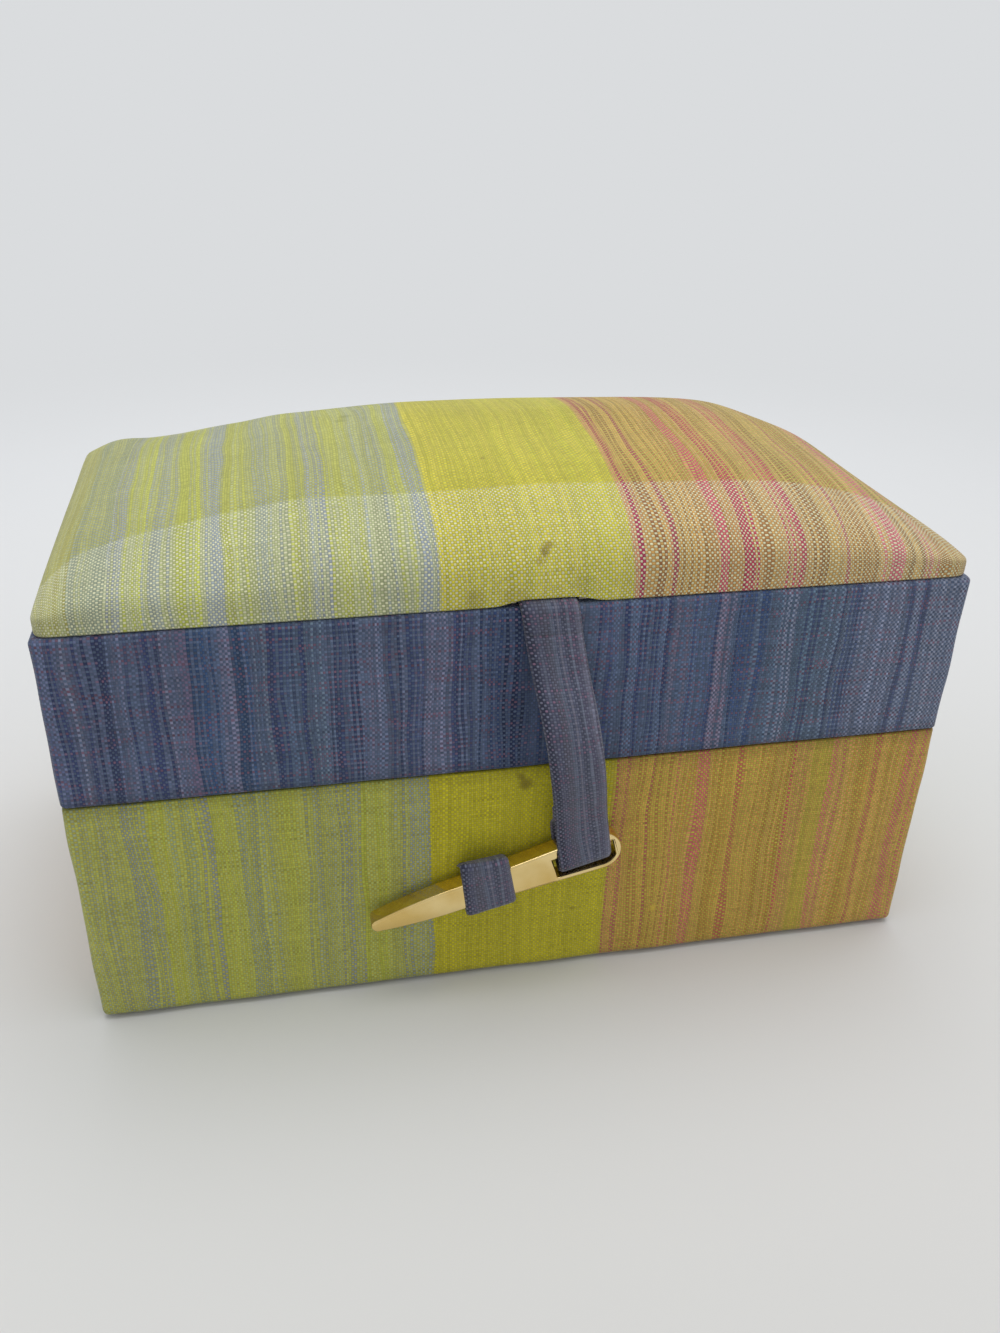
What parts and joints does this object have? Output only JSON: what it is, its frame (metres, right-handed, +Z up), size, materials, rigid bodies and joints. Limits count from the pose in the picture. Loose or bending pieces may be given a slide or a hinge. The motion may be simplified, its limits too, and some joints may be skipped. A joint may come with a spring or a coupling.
{
  "type": "cloth covered keepsake box with toggle and strap",
  "caption": "Rectangular boarded box covered in checked plain-weave silk, with a crowned cushion on its hinged lid and a cloth strap that holds a gilt toggle in a keeper",
  "frame": {"origin": "middle of the flat underside, where the box rests on the table", "axes": "X along the long side to the right, Y from the front with the strap to the hinged back, Z up"},
  "size_m": [0.14, 0.0792, 0.0845],
  "materials": {
    "base_silk": "slubby plain-weave silk in wide green, olive and ochre stripes",
    "band_silk": "slubby plain-weave silk in slate blue with fine purple stripes",
    "cushion_silk": "slubby checked silk: pale green, straw and tan stripes with a paler front",
    "strap_silk": "ribbed grey-purple silk band",
    "gilt_metal": "polished gilt",
    "card": "grey bookbinder's board, unprinted",
    "wadding": "soft white wadding",
    "lining_silk": "plain gold lining cloth",
    "underside_cloth": "plain dark cotton"
  },
  "bodies": {
    "base": {"base_floor_board": "card", "base_front_board": "card", "base_back_board": "card", "base_left_board": "card", "base_right_board": "card", "base_cover": "base_silk", "base_underside_sheet": "underside_cloth", "base_lining_front": "lining_silk", "base_lining_back": "lining_silk", "base_lining_left": "lining_silk", "base_lining_right": "lining_silk", "base_floor_pad": "lining_silk", "keeper_loop": "strap_silk", "hinge_cloth": "band_silk"},
    "lid": {"lid_top_board": "card", "lid_front_board": "card", "lid_back_board": "card", "lid_left_board": "card", "lid_right_board": "card", "lid_band_cover": "band_silk", "lid_ceiling_panel": "lining_silk", "lid_lining_front": "lining_silk", "lid_lining_back": "lining_silk", "lid_lining_left": "lining_silk", "lid_lining_right": "lining_silk", "pad_card": "card", "pad_wadding": "wadding", "pad_cover": "cushion_silk", "strap_tab": "strap_silk"},
    "strap": {"strap": "strap_silk"},
    "toggle": {"toggle": "gilt_metal"}
  },
  "joints": [
    {"name": "lid_hinge", "type": "hinge", "parent": "base", "child": "lid", "pos_m": [0, 0.0359, 0.0423], "axis": [-1, 0, 0], "range_deg": [0, 175], "deforming": ["hinge_cloth"]},
    {"name": "strap_lift", "type": "hinge", "parent": "lid", "child": "strap", "pos_m": [0.0022, -0.0347, 0.0692], "axis": [-1, 0, 0], "range_deg": [0, 110], "deforming": ["strap"]},
    {"name": "toggle_slide", "type": "slide", "parent": "strap", "child": "toggle", "axis": [0.9613, 0, 0.2756], "range_m": [0, 0.026], "deforming": ["keeper_loop"]}
  ]
}
